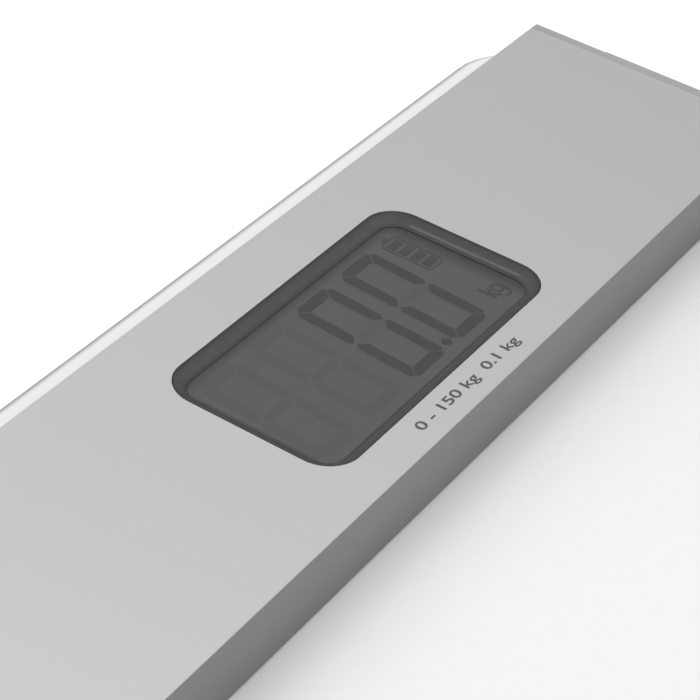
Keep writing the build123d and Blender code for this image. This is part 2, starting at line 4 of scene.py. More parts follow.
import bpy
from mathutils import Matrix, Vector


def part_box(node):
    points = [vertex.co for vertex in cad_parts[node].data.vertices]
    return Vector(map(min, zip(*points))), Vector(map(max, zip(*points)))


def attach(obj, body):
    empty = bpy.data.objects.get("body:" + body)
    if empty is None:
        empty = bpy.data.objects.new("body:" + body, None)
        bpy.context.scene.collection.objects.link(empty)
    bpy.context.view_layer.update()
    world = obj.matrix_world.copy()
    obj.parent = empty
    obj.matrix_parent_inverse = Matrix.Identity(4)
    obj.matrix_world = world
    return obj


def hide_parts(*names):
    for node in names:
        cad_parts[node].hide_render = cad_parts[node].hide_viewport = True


bl_info = {
    "name": "Bathroom Scale Looks",
    "version": (1, 0, 0),
    "blender": (4, 5, 0),
    "location": "3D View > Sidebar > Scale",
    "description": "Finishes, display, treads and studio of a glass bathroom scale",
    "category": "Object",
}

import math

import bmesh
import bpy
import numpy as np
from bpy.props import FloatProperty, FloatVectorProperty, IntProperty, PointerProperty, StringProperty
from mathutils import Vector

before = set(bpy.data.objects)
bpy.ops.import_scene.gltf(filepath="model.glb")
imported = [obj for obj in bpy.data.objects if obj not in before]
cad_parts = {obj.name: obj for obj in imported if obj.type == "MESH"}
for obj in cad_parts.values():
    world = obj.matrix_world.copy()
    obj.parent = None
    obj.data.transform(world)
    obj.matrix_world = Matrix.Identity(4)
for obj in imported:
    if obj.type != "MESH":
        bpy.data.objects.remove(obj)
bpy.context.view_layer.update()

# Places read from the frame
glass_low, glass_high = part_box("platform_glass")
bezel_low, bezel_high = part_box("display_bezel")
lens_low, lens_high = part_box("display_lens")
lcd_low, lcd_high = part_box("lcd_panel")
grommet_low, grommet_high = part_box("cable_grommet")
window_centre = (lens_low + lens_high) / 2
console_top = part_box("console_profile")[1].z
feet = ("front_left", "front_right", "rear_left", "rear_right")
mm = 0.001


# Arrays of points and faces

def rounded_loop(half_width, half_height, radius, corner_steps, side_steps):
    """Closed loop of a rounded rectangle about the origin, one row for each entry of the sizes.

    Each corner is a quarter circle: its centre plus radius times the cosine and sine of the
    angle. Each side is the straight blend from the end of one corner to the start of the next.
    """
    sizes = (half_width, half_height, radius)
    half_width, half_height, radius = (np.atleast_1d(size)[:, None, None] for size in sizes)
    corner = np.arange(4)[None, :, None]
    sign_x = np.array([1, -1, -1, 1])[None, :, None]
    sign_y = np.array([1, 1, -1, -1])[None, :, None]
    angle = corner * np.pi / 2 + np.linspace(0, np.pi / 2, corner_steps)[None, None, :]
    arc_x = sign_x * (half_width - radius) + radius * np.cos(angle)
    arc_y = sign_y * (half_height - radius) + radius * np.sin(angle)
    share = np.linspace(0, 1, side_steps + 2)[1:-1][None, None, :]
    side_x = arc_x[..., -1:] * (1 - share) + np.roll(arc_x, -1, axis=1)[..., :1] * share
    side_y = arc_y[..., -1:] * (1 - share) + np.roll(arc_y, -1, axis=1)[..., :1] * share
    loop_x = np.concatenate([arc_x, side_x], axis=2)
    loop_y = np.concatenate([arc_y, side_y], axis=2)
    loop = np.stack([loop_x, loop_y], axis=-1)
    return loop.reshape(len(loop), -1, 2)


def stacked(loops, heights):
    """Points of a grid: each loop of plane points at its own height."""
    levels = np.broadcast_to(np.asarray(heights)[:, None, None], loops.shape[:2] + (1,))
    return np.concatenate([loops, levels], axis=2)


def ring_faces(rings, steps, closed):
    """Quads between neighbouring rows of a grid of closed loops, back to the first row if closed."""
    row = np.arange(rings if closed else rings - 1)[:, None]
    column = np.arange(steps)[None, :]
    next_row = (row + 1) % rings
    next_column = (column + 1) % steps
    corners = (
        row * steps + column,
        row * steps + next_column,
        next_row * steps + next_column,
        next_row * steps + column,
    )
    return np.stack(np.broadcast_arrays(*corners), axis=-1).reshape(-1, 4).tolist()


def ring_solid(loops, heights):
    """A closed section carried round a closed path: rows are the section, columns the path."""
    points = stacked(loops, heights)
    return points.reshape(-1, 3), ring_faces(*points.shape[:2], closed=True)


def capped_solid(loops, heights):
    """A stack of loops with a flat cap on its first and on its last loop."""
    points = stacked(loops, heights)
    rings, steps = points.shape[:2]
    last = (rings - 1) * steps
    caps = [list(range(steps))[::-1], list(range(last, last + steps))]
    return points.reshape(-1, 3), ring_faces(rings, steps, closed=False) + caps


def prisms(outlines, low, high):
    """Upright prisms, one for each outline of an array (count, corners, 2), between two heights."""
    count, corners = outlines.shape[:2]
    foot = stacked(outlines, np.full(count, low))
    roof = stacked(outlines, np.full(count, high))
    points = np.concatenate([foot, roof], axis=1)
    first = (np.arange(count) * 2 * corners)[:, None]
    column = np.arange(corners)[None, :]
    following = (column + 1) % corners
    walls = np.stack(
        [first + column, first + following, first + corners + following, first + corners + column],
        axis=-1,
    )
    faces = walls.reshape(-1, 4).tolist()
    faces += (first + column[:, ::-1]).tolist()
    faces += (first + corners + column).tolist()
    return points.reshape(-1, 3), faces


def joined(*solids):
    """One list of points and one list of faces from several solids."""
    starts = np.cumsum([0] + [len(points) for points, _ in solids[:-1]])
    points = np.concatenate([points for points, _ in solids])
    faces = []
    for start, (_, part) in zip(starts.tolist(), solids):
        faces += [[start + corner for corner in face] for face in part]
    return points, faces


def rectangle(centre_x, centre_y, width, height):
    """Corners of upright rectangles, one for each entry of the centres."""
    centre_x, centre_y = np.broadcast_arrays(np.atleast_1d(centre_x), np.atleast_1d(centre_y))
    corner_x = centre_x[:, None] + width / 2 * np.array([-1, 1, 1, -1])
    corner_y = centre_y[:, None] + height / 2 * np.array([-1, -1, 1, 1])
    return np.stack([corner_x, corner_y], axis=-1)


# Objects

def tidy_mesh(mesh):
    """Merge doubles, turn the faces outwards and shade smooth up to the crease angle."""
    merge_distance = 0.001 * mm
    crease = math.radians(30)
    work = bmesh.new()
    work.from_mesh(mesh)
    bmesh.ops.remove_doubles(work, verts=work.verts, dist=merge_distance)
    bmesh.ops.recalc_face_normals(work, faces=work.faces)
    work.to_mesh(mesh)
    work.free()
    mesh.polygons.foreach_set("use_smooth", np.ones(len(mesh.polygons), dtype=bool))
    mesh.set_sharp_from_angle(angle=crease)


def seated(name, mesh, material):
    """An object from a mesh, with its material and the body that it rides on."""
    tidy_mesh(mesh)
    mesh.materials.clear()
    mesh.materials.append(material)
    piece = bpy.data.objects.new(name, mesh)
    bpy.context.scene.collection.objects.link(piece)
    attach(piece, "scale")
    return piece


def new_piece(name, solid, material):
    """A piece from points and faces."""
    points, faces = solid
    mesh = bpy.data.meshes.new(name)
    mesh.from_pydata(points.tolist(), [], faces)
    return seated(name, mesh, material)


def lettering(name, words, low_corner, width, height, low, high, weight, material):
    """A line of letters as a thin plate: the letter outlines, scaled to a width and a height.

    The height is that of the first letter, which stands on the low corner's level.
    """
    curve = bpy.data.curves.new(name, "FONT")
    curve.body = words
    curve.offset = weight
    curve.extrude = 0.5
    curve.resolution_u = 6
    carrier = bpy.data.objects.new(name + "_outline", curve)
    bpy.context.scene.collection.objects.link(carrier)

    def drawn():
        """The carrier as Blender draws its present words."""
        bpy.context.view_layer.update()
        return carrier.evaluated_get(bpy.context.evaluated_depsgraph_get())

    mesh = bpy.data.meshes.new_from_object(drawn())
    curve.body = words[0]
    capital_height = max(corner[1] for corner in drawn().bound_box)
    bpy.data.objects.remove(carrier)
    bpy.data.curves.remove(curve)
    flat = np.empty(len(mesh.vertices) * 3)
    mesh.vertices.foreach_get("co", flat)
    points = flat.reshape(-1, 3)
    left, right = points[:, 0].min(), points[:, 0].max()
    points[:, 0] = low_corner[0] + (points[:, 0] - left) * width / (right - left)
    points[:, 1] = low_corner[1] + points[:, 1] * height / capital_height
    points[:, 2] = np.where(points[:, 2] > 0, high, low)
    mesh.vertices.foreach_set("co", points.ravel())
    mesh.name = name
    return seated(name, mesh, material)


def dress(material, *nodes):
    """Put a finish on CAD nodes, which keep their shape and place."""
    for node in nodes:
        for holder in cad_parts[node].material_slots:
            holder.material = material


# Finishes

class NodeWeb:
    """The nodes of one tree, added and joined one at a time."""

    def __init__(self, tree):
        self.tree = tree

    def fill(self, socket, value):
        """Join an output to a socket, or give the socket a value of its own."""
        if isinstance(value, bpy.types.NodeSocket):
            self.tree.links.new(value, socket)
        else:
            socket.default_value = value

    def node(self, kind, inputs=None, **settings):
        """A new node with its plain settings, and a value or an output for each input named."""
        made = self.tree.nodes.new(kind)
        for key, value in settings.items():
            setattr(made, key, value)
        for key, value in (inputs or {}).items():
            self.fill(made.inputs[key], value)
        return made

    def ramp(self, value, start, end, low=0.0, high=1.0, smooth=True):
        """Map a value from one range to another, clamped."""
        inputs = {"Value": value, "From Min": start, "From Max": end, "To Min": low, "To Max": high}
        course = "SMOOTHSTEP" if smooth else "LINEAR"
        return self.node("ShaderNodeMapRange", inputs, interpolation_type=course).outputs["Result"]

    def combined(self, operation, first, second):
        """One value from two, by a plain operation."""
        return self.node("ShaderNodeMath", {0: first, 1: second}, operation=operation).outputs["Value"]

    def product(self, first, second):
        """Two values multiplied."""
        return self.combined("MULTIPLY", first, second)

    def total(self, first, second):
        """Two values added."""
        return self.combined("ADD", first, second)


class Finish(NodeWeb):
    """A procedural material: noise and masks on Object coordinates that feed one shader."""

    grain_low = 0.3
    grain_high = 0.7

    def __init__(self, name, roughness=0.5, metallic=0.0, specular=0.5):
        self.material = bpy.data.materials.new(name)
        self.material.use_nodes = True
        super().__init__(self.material.node_tree)
        self.shader = self.tree.nodes["Principled BSDF"]
        self.feed("Roughness", roughness)
        self.feed("Metallic", metallic)
        self.feed("Specular IOR Level", specular)

    def feed(self, socket, value):
        """Fill one of the shader's sockets."""
        self.fill(self.shader.inputs[socket], value)

    def place(self, stretch=(1, 1, 1)):
        """Object coordinates, scaled along each axis."""
        inputs = {"Vector": self.node("ShaderNodeTexCoord").outputs["Object"], "Scale": stretch}
        return self.node("ShaderNodeMapping", inputs).outputs["Vector"]

    def grain(self, size, detail=2.0, stretch=(1, 1, 1)):
        """Soft noise whose spots have about the given size."""
        inputs = {"Vector": self.place(stretch), "Scale": 1 / size, "Detail": detail}
        return self.node("ShaderNodeTexNoise", inputs).outputs["Fac"]

    def cells(self, size):
        """Distance to the nearest of many scattered points, for the cells of a foam."""
        inputs = {"Vector": self.place(), "Scale": 1 / size}
        return self.node("ShaderNodeTexVoronoi", inputs).outputs["Distance"]

    def waves(self, size, axis):
        """Straight bands along one axis, for tracks."""
        inputs = {"Vector": self.place(), "Scale": 1 / size}
        return self.node("ShaderNodeTexWave", inputs, bands_direction=axis).outputs["Fac"]

    def part(self, vector, axis):
        """One component of a vector."""
        return self.node("ShaderNodeSeparateXYZ", {"Vector": vector}).outputs[axis]

    def normal(self, axis):
        """One component of the surface normal, from -1 to 1."""
        return self.part(self.node("ShaderNodeNewGeometry").outputs["Normal"], axis)

    def position(self, axis):
        """One Object coordinate."""
        return self.part(self.place(), axis)

    def mix(self, factor, first, second):
        """Blend two colours, each a plain colour or another blend."""
        blend = self.node("ShaderNodeMix", {"Factor": factor}, data_type="RGBA")
        for socket, colour in ((blend.inputs[6], first), (blend.inputs[7], second)):
            linked = isinstance(colour, bpy.types.NodeSocket)
            self.fill(socket, colour if linked else (*colour, 1.0))
        return blend.outputs[2]

    def speckle(self, factor, colour, spread):
        """Blend between a darker and a lighter tone of one colour."""
        dark = tuple(part * (1 - spread) for part in colour)
        light = tuple(min(1.0, part * (1 + spread)) for part in colour)
        share = self.ramp(factor, self.grain_low, self.grain_high, smooth=False)
        return self.mix(share, dark, light)

    def gloss(self, factor, low, high):
        """Roughness that follows a grain between two values."""
        self.feed("Roughness", self.ramp(factor, self.grain_low, self.grain_high, low, high))

    def relief(self, height, depth):
        """Bump from a height between 0 and 1."""
        inputs = {"Height": height, "Strength": 1.0, "Distance": depth}
        self.feed("Normal", self.node("ShaderNodeBump", inputs).outputs["Normal"])


def moulded(name, colour, roughness, grain_size=0.6 * mm, depth=0.02 * mm, spread=0.04):
    """Moulded plastic: fine spark texture, faint tone changes and uneven gloss."""
    finish = Finish(name)
    grain = finish.grain(grain_size)
    finish.feed("Base Color", finish.speckle(finish.grain(9 * mm), colour, spread))
    finish.gloss(grain, roughness - 0.06, roughness + 0.06)
    finish.relief(grain, depth)
    return finish.material


def metal(name, colour, roughness, stretch=(1, 1, 1)):
    """Bare metal with drawn or blasted grain."""
    finish = Finish(name, metallic=1.0)
    grain = finish.grain(0.3 * mm, stretch=stretch)
    finish.feed("Base Color", finish.speckle(grain, colour, 0.05))
    finish.gloss(grain, roughness - 0.05, roughness + 0.05)
    finish.relief(grain, 0.004 * mm)
    return finish.material


def satin_glass(look):
    """Back-painted glass: an even satin white face that turns into a darker ground edge, partly the
    ground glass's own tint and partly painted shade over the rounding.
    """
    finish = Finish("satin_white_glass", specular=0.3)
    upright = finish.normal("Z")
    lean = finish.node("ShaderNodeMath", {0: upright}, operation="ARCCOSINE").outputs["Value"]
    face = finish.speckle(finish.grain(2.5 * mm), look.glass_colour, 0.006)
    # Edge tone: the ground glass's own tint, deepened over the rounding by the lean ramp as painted
    # shade.
    ground = finish.speckle(finish.grain(0.5 * mm), look.edge_tint_and_shade_colour, 0.05)
    paint = finish.speckle(finish.grain(4 * mm), look.underside_colour, 0.03)
    turned = finish.ramp(lean, look.edge_start, look.edge_full, smooth=False)
    rim = finish.mix(turned, face, ground)
    finish.feed("Base Color", finish.mix(finish.ramp(upright, -0.8, -0.97), rim, paint))
    finish.gloss(finish.grain(1.2 * mm), 0.40, 0.48)
    finish.relief(finish.grain(0.35 * mm), 0.002 * mm)
    return finish.material


def blasted_aluminium(look):
    """Bead-blasted aluminium on top; the walls carry a drawn grain, their colour painted darker than
    the top as shade.
    """
    finish = Finish("blasted_aluminium", metallic=1.0)
    beads = finish.grain(0.32 * mm, detail=3.0)
    face = finish.speckle(beads, look.aluminium_colour, 0.05)
    # Walls: drawn grain, with a colour painted darker than the top face as shade.
    wall = finish.speckle(finish.grain(0.3 * mm, stretch=(0.05, 1, 1)), look.wall_shade_colour, 0.04)
    finish.feed("Base Color", finish.mix(finish.ramp(finish.normal("Z"), 0.75, 0.45), face, wall))
    finish.gloss(beads, 0.46, 0.54)
    finish.relief(beads, 0.012 * mm)
    return finish.material


def gloss_bezel(look):
    """Dark polished plastic with faint flow marks, the far slope painted paler as light, and painted
    shade darkening the foot by the pane.
    """
    finish = Finish("gloss_bezel", specular=0.14)
    flow = finish.grain(3 * mm)
    slope = finish.speckle(flow, look.bezel_colour, 0.03)
    # Painted light: slopes that face the near side take a paler tone.
    pale = finish.speckle(flow, look.bezel_far_light_colour, 0.03)
    slope = finish.mix(finish.ramp(finish.normal("Y"), -0.25, -0.6, smooth=False), slope, pale)
    # Painted shade: the bezel darkens towards its foot by the pane, over the foot height.
    foot = finish.speckle(flow, look.bezel_foot_shade_colour, 0.03)
    rise = finish.ramp(finish.position("Z"), lens_high.z, lens_high.z + look.bezel_foot_shade_height, smooth=False)
    finish.feed("Base Color", finish.mix(rise, foot, slope))
    finish.gloss(flow, 0.12, 0.16)
    return finish.material


def clear_pane(look):
    """Clear pane with a hint of smoke, coated so that it mirrors nothing."""
    finish = Finish("clear_pane", specular=0.0)
    finish.feed("Alpha", look.pane_smoke)
    finish.feed("Base Color", finish.speckle(finish.grain(6 * mm), look.pane_colour, 0.05))
    return finish.material


def display_tone(name, colour, spread):
    """A tone of the liquid crystal under its satin cover."""
    finish = Finish(name, roughness=0.3)
    finish.feed("Base Color", finish.speckle(finish.grain(7 * mm), colour, spread))
    return finish.material


def display_ground(look):
    """The unlit display: an even grey, with painted shade that darkens it towards the border under the
    bezel.
    """
    finish = Finish("display_ground", roughness=0.3)
    grain = finish.grain(7 * mm)
    even = finish.speckle(grain, look.lcd_colour, 0.02)
    # Painted shade: the bezel's shadow along the display's border.
    border = finish.speckle(grain, look.border_shade_colour, 0.02)
    edge = 1.5 * mm
    left, right, near, far = look.border_shade_fade
    starts = (lcd_low.x + edge, lcd_high.x - edge, lcd_low.y + edge, lcd_high.y - edge)
    ends = (starts[0] + left, starts[1] - right, starts[2] + near, starts[3] - far)
    sides = [
        finish.ramp(finish.position(axis), start, end, smooth=False)
        for axis, start, end in zip("XXYY", starts, ends)]
    inside = sides[0]
    for side in sides[1:]:
        inside = finish.product(inside, side)
    finish.feed("Base Color", finish.mix(inside, border, even))
    return finish.material


def tread_rubber(look):
    """Matt rubber with a fine pitted skin and pale dust in places."""
    finish = Finish("tread_rubber", specular=0.3)
    dust = finish.speckle(finish.grain(5 * mm), look.rubber_colour, 0.18)
    finish.feed("Base Color", dust)
    finish.gloss(finish.grain(2 * mm), 0.7, 0.85)
    finish.relief(finish.grain(0.3 * mm), 0.03 * mm)
    return finish.material


def foam(look):
    """Closed-cell foam tape, seen at its cut edge."""
    finish = Finish("foam_tape", specular=0.2)
    cells = finish.cells(0.5 * mm)
    finish.feed("Base Color", finish.speckle(cells, look.foam_colour, 0.12))
    finish.feed("Roughness", finish.ramp(cells, 0.2, 0.8, 0.8, 0.95))
    finish.relief(cells, 0.08 * mm)
    return finish.material


def solder_mask(look):
    """Circuit board: green lacquer over raised copper tracks."""
    finish = Finish("solder_mask")
    tracks = finish.ramp(finish.waves(14 * mm, "Y"), 0.45, 0.55)
    blocks = finish.ramp(finish.grain(11 * mm), 0.48, 0.52)
    both = finish.product(tracks, blocks)
    bare_share = 0.6
    bare = tuple(bare_share * part for part in look.board_colour)
    finish.feed("Base Color", finish.mix(both, bare, look.board_colour))
    finish.gloss(finish.grain(2 * mm), 0.3, 0.4)
    finish.relief(both, 0.03 * mm)
    return finish.material


def cell_wrap(look, low, high):
    """Battery wrap: a plain grey sleeve with a dark band at the plus end."""
    finish = Finish("cell_wrap")
    along = finish.position("X")
    length = high - low
    band_start = low + 0.74 * length
    band_full = low + 0.75 * length
    sleeve = finish.speckle(finish.grain(3 * mm, stretch=(0.2, 1, 1)), look.cell_colour, 0.05)
    band = finish.speckle(finish.grain(2 * mm), look.cell_band_colour, 0.05)
    finish.feed("Base Color", finish.mix(finish.ramp(along, band_start, band_full), sleeve, band))
    finish.gloss(finish.grain(1 * mm), 0.25, 0.35)
    finish.relief(finish.grain(0.8 * mm), 0.01 * mm)
    return finish.material


def pale_floor(look):
    """Even pale studio paper, which keeps the shadow of the scale."""
    finish = Finish("studio_paper", roughness=0.9, specular=0.1)
    finish.feed("Base Color", finish.speckle(finish.grain(40 * mm), look.floor_colour, 0.004))
    path = finish.node("ShaderNodeLightPath")
    seen = finish.total(path.outputs["Is Camera Ray"], path.outputs["Is Glossy Ray"])
    seen = finish.total(seen, path.outputs["Is Transmission Ray"])
    finish.feed("Emission Color", (1, 1, 1, 1))
    finish.feed("Emission Strength", finish.ramp(seen, 0, 1, 0, look.floor_lift))
    return finish.material


# Sizes and colours that a user would change

def colour_setting(name, description, *shade):
    """A colour, given by its red, green and blue parts or by one grey."""
    parts = shade if len(shade) == 3 else shade * 3
    return FloatVectorProperty(name=name, description=description, subtype="COLOR", default=parts)


def length_setting(name, description, millimetres):
    """A length, given in millimetres and held in metres."""
    return FloatProperty(name=name, description=description, unit="LENGTH", default=millimetres * mm)


def angle_setting(name, description, degrees):
    """An angle, given in degrees and held in radians."""
    turn = math.radians(degrees)
    return FloatProperty(name=name, description=description, subtype="ANGLE", default=turn)


class ScalePlatformLook(bpy.types.PropertyGroup):
    """Glass platform."""

    glass_colour: colour_setting("Glass", "Satin white face", 0.90)
    # Ground edge: the glass's own tint, plus painted shade over the rounded edge.
    edge_tint_and_shade_colour: colour_setting("Ground edge", "Glass at its ground edge", 0.15, 0.165, 0.16)
    underside_colour: colour_setting("Back paint", "Paint under the glass", 0.62, 0.63, 0.64)
    edge_start: angle_setting("Edge start", "Lean where the edge tone starts", 0.0)
    edge_full: angle_setting("Edge full", "Lean where the edge tone is full", 40)
    edge_round: length_setting("Edge round", "Radius of the ground edge", 2.8)
    corner_radius: length_setting("Corner radius", "Radius of the platform's corners", 20)


class ScaleConsoleLook(bpy.types.PropertyGroup):
    """Display console."""

    aluminium_colour: colour_setting("Top face", "Blasted aluminium", 0.615)
    # Painted shade: the walls are drawn darker than the top face.
    wall_shade_colour: colour_setting("Walls", "Drawn aluminium walls", 0.295)
    plastic_colour: colour_setting("Caps", "Silver plastic", 0.36, 0.36, 0.365)
    housing_colour: colour_setting("Housings", "Grey plastic", 0.42, 0.43, 0.44)
    foam_colour: colour_setting("Foam", "Bonding tape", 0.12)
    print_colour: colour_setting("Print", "Printed line", 0.085)
    print_words: StringProperty(
        name="Line", description="Plain capacity line", default="0 - 150 kg  0.1 kg")
    print_length: length_setting("Line length", "Length of the printed line", 41.1)
    print_height: length_setting("Numeral height", "Height of the printed numerals", 2.5)
    print_left: length_setting("Line start", "Start of the line from the window's middle", -21.3)
    print_baseline: length_setting("Baseline", "Baseline from the window's middle", -28.6)


class ScaleDisplayLook(bpy.types.PropertyGroup):
    """Display window."""

    bezel_colour: colour_setting("Bezel", "Polished dark plastic", 0.074, 0.074, 0.077)
    # Painted light: the far slope is drawn paler than the rest of the bezel.
    bezel_far_light_colour: colour_setting(
        "Bezel far side", "Slope that faces the reader", 0.102, 0.102, 0.106)
    # Painted shade at the bezel's foot by the pane, and the height it reaches.
    bezel_foot_shade_colour: colour_setting("Bezel foot", "Bezel next to the pane", 0.05, 0.05, 0.052)
    bezel_foot_shade_height: length_setting("Foot height", "Height of the darker foot", 0.4)
    bezel_rim: length_setting("Bezel rim", "Flat rim round the window", 0.1)
    bezel_reach: length_setting("Bezel reach", "Width of the slope from the rim to the step", 3.05)
    bezel_lip: length_setting("Bezel lip", "Depth of the steep lip under the rim", 0.4)
    bezel_steep: angle_setting("Cove top", "Slope of the cove at the lip", 40)
    bezel_shallow: angle_setting("Cove foot", "Slope of the cove at the step", 15)
    bezel_step: length_setting("Bezel step", "Step from the cove down to the pane", 0.03)
    bezel_corner: length_setting("Bezel corner", "Corner radius of the bezel", 8.3)
    pane_colour: colour_setting("Pane", "Smoke of the clear pane", 0.07)
    pane_smoke: FloatProperty(
        name="Pane smoke", description="Share of light that the pane keeps back", subtype="FACTOR",
        default=0.01)
    lcd_colour: colour_setting("Display", "Unlit display", 0.078)
    # Painted shade along the display's border, and its width on each side.
    border_shade_colour: colour_setting("Display border", "Display next to the bezel", 0.024)
    border_shade_fade: FloatVectorProperty(
        name="Border fade", description="Width of the darker border: left, right, near and far",
        unit="LENGTH", size=4, default=(1.3 * mm, 5.2 * mm, 1.3 * mm, 3.9 * mm))
    lit_colour: colour_setting("Lit segments", "Dark segments", 0.0362, 0.0357, 0.0342)
    sign_colour: colour_setting("Signs", "Battery and unit signs", 0.042, 0.0415, 0.0405)
    idle_colour: colour_setting("Idle segments", "Segments that are off", 0.0682, 0.0682, 0.0732)
    shade_colour: colour_setting(
        "Segment shade", "Faint shade that lit segments cast behind them", 0.0697)
    shade_offset: length_setting("Shade offset", "Sideways offset of the shade", -1.0)
    digit_count: IntProperty(name="Digits", description="Number of digits", default=4)
    digit_pitch: length_setting("Digit pitch", "From digit to digit", 18.0)
    digit_width: length_setting("Digit width", "Width of a digit", 13.5)
    digit_height: length_setting("Digit height", "Height of a digit", 33.85)
    digit_middle: FloatVectorProperty(
        name="Digit row", description="Middle of the row from the window's middle",
        subtype="TRANSLATION", size=2, default=(-6.0 * mm, -0.06 * mm))
    stroke: length_setting("Stroke", "Width of a segment", 2.95)
    mitre_gap: length_setting("Mitre gap", "Gap between segments", 0.35)
    slant: angle_setting("Slant", "Lean of the digits", 3.4)
    film_thickness: length_setting("Film", "Film on the display panel", 0.9)
    segment_lift: length_setting("Segment lift", "Height of lit segments over the film", 0.01)
    pane_thickness: length_setting("Pane thickness", "Thickness of the clear pane", 0.06)


class ScaleFootLook(bpy.types.PropertyGroup):
    """Feet."""

    rubber_colour: colour_setting("Rubber", "Tread rubber", 0.05, 0.05, 0.052)
    groove_count: IntProperty(name="Grooves", description="Rings cut into each tread", default=5)
    groove_depth: length_setting("Groove depth", "Depth of a ring", 0.5)


class ScaleInsideLook(bpy.types.PropertyGroup):
    """Electronics, power and wiring."""

    board_colour: colour_setting("Board", "Solder mask", 0.03, 0.16, 0.07)
    cell_colour: colour_setting("Cell sleeve", "Battery wrap", 0.36, 0.37, 0.38)
    cell_band_colour: colour_setting("Cell band", "Band at the plus end", 0.07, 0.07, 0.075)


class ScaleStageLook(bpy.types.PropertyGroup):
    """Floor, light and camera."""

    floor_colour: colour_setting("Floor", "Studio paper", 0.93)
    floor_lift: FloatProperty(
        name="Floor lift", description="Glow that the camera sees on the floor", default=0.10)
    light_toward: FloatVectorProperty(
        name="Light from", description="Direction of the soft overhead light",
        subtype="DIRECTION", default=(-0.15, 0.13, 0.98))
    light_strength: FloatProperty(
        name="Light", description="Strength of the overhead light", default=1.42)
    room_strength: FloatProperty(
        name="Room", description="Strength of the rest of the room", default=0.33)
    light_core: angle_setting("Light core", "Half angle of the full light", 25)
    light_reach: angle_setting("Light reach", "Half angle where the light has faded", 75)
    lamp_toward: FloatVectorProperty(
        name="Lamp from", description="Direction of the small lamp", subtype="DIRECTION",
        default=(-0.07, 0.38, 0.922))
    lamp_strength: FloatProperty(name="Lamp", description="Strength of the small lamp", default=6.0)
    lamp_reach: angle_setting("Lamp reach", "Half angle of the small lamp", 5.5)
    camera_offset: FloatVectorProperty(
        name="Camera", description="Camera from the window's middle on the top face",
        subtype="TRANSLATION", default=(-0.3715, -0.19965, 0.3155))
    camera_turn: FloatVectorProperty(
        name="Camera turn", description="Camera rotation about X, Y and Z", subtype="EULER",
        default=(math.radians(52.424), math.radians(-6.074), math.radians(-56.769)))
    camera_lens: FloatProperty(
        name="Lens", description="Focal length in millimetres", unit="CAMERA", default=123.43)


class ScaleLook(bpy.types.PropertyGroup):
    """All settings of the scale."""

    platform: PointerProperty(type=ScalePlatformLook)
    console: PointerProperty(type=ScaleConsoleLook)
    display: PointerProperty(type=ScaleDisplayLook)
    foot: PointerProperty(type=ScaleFootLook)
    inside: PointerProperty(type=ScaleInsideLook)
    stage: PointerProperty(type=ScaleStageLook)


# Pieces

def platform_solid(look):
    """Slab with a rounded rim and the cable hole, as one section carried round the outline.

    The section climbs the hole, runs out along the top face, turns down the rim on two quarter
    circles and runs back along the underside. A rim point at angle t lies inside the outline by
    radius times one minus cosine t, and above or below the middle by radius times sine t plus
    the straight part of the edge. Each hole point lies on the ray from the hole's middle to its
    partner on the outline, at the hole's radius.
    """
    turn = np.linspace(np.pi / 2, 0, 11)
    inset = look.edge_round * (1 - np.cos(turn))
    rise = look.edge_round * np.sin(turn)
    inset = np.concatenate([inset, inset[::-1]])
    top = glass_high.z - look.edge_round + rise
    bottom = glass_low.z + look.edge_round - rise[::-1]
    half = (glass_high - glass_low) / 2
    loops = rounded_loop(half.x - inset, half.y - inset, look.corner_radius - inset, 12, 24)
    hole_middle = (grommet_low + grommet_high) / 2
    centre = np.array([hole_middle.x, hole_middle.y])
    ray = loops[0] - centre
    hole_radius = 10 * mm
    hole = centre + hole_radius * ray / np.linalg.norm(ray, axis=1, keepdims=True)
    loops = np.concatenate([hole[None], loops, hole[None]])
    heights = np.concatenate([[glass_high.z], top, bottom, [glass_low.z]])
    return ring_solid(loops, heights)


def bezel_solid(look):
    """Dished frame round the window: a section carried round a rounded rectangle.

    Seen from outside in, the section has the hidden flange, the wall in the window, a narrow rim,
    a steep lip, a cove and a small step down to the pane. The cove is part of a circle that is
    steep at the lip and shallow at the step: at slope t it lies inwards of the lip by radius times
    the difference of the sines of the steep angle and t, and below it by radius times the
    difference of the cosines of t and the steep angle.
    """
    flange = 3.2 * mm
    wall_foot = console_top - 2 * mm
    half_x = (bezel_high.x - bezel_low.x) / 2 - flange
    half_y = (bezel_high.y - bezel_low.y) / 2 - flange
    least_corner = 0.4 * mm
    pocket = 1.0 * mm
    slope = np.linspace(look.bezel_steep, look.bezel_shallow, 17)
    inward = np.sin(look.bezel_steep) - np.sin(slope)
    downward = np.cos(slope) - np.cos(look.bezel_steep)
    lip_lean = 0.5
    step_lean = 0.08 * mm
    lip_inset = look.bezel_rim + lip_lean * look.bezel_lip
    lip_foot = console_top - look.bezel_lip
    foot = lens_high.z + look.bezel_step
    reach = look.bezel_rim + look.bezel_reach
    cove_inset = lip_inset + (reach - lip_inset) * inward / inward[-1]
    cove_height = lip_foot - (lip_foot - foot) * downward / downward[-1]
    inset = np.concatenate(
        [[pocket, -flange, -flange, 0, 0, look.bezel_rim], cove_inset, [reach + step_lean, pocket]])
    height = np.concatenate([
        [lcd_high.z, lcd_high.z, wall_foot, wall_foot, console_top, console_top],
        cove_height, [lens_high.z, lens_high.z]])
    radius = np.maximum(look.bezel_corner - inset, least_corner)
    return ring_solid(rounded_loop(half_x - inset, half_y - inset, radius, 14, 0), height)


def centred(solid):
    """Move a solid from the origin's axis to the middle of the display window."""
    points, faces = solid
    return points + np.array([window_centre.x, window_centre.y, 0]), faces


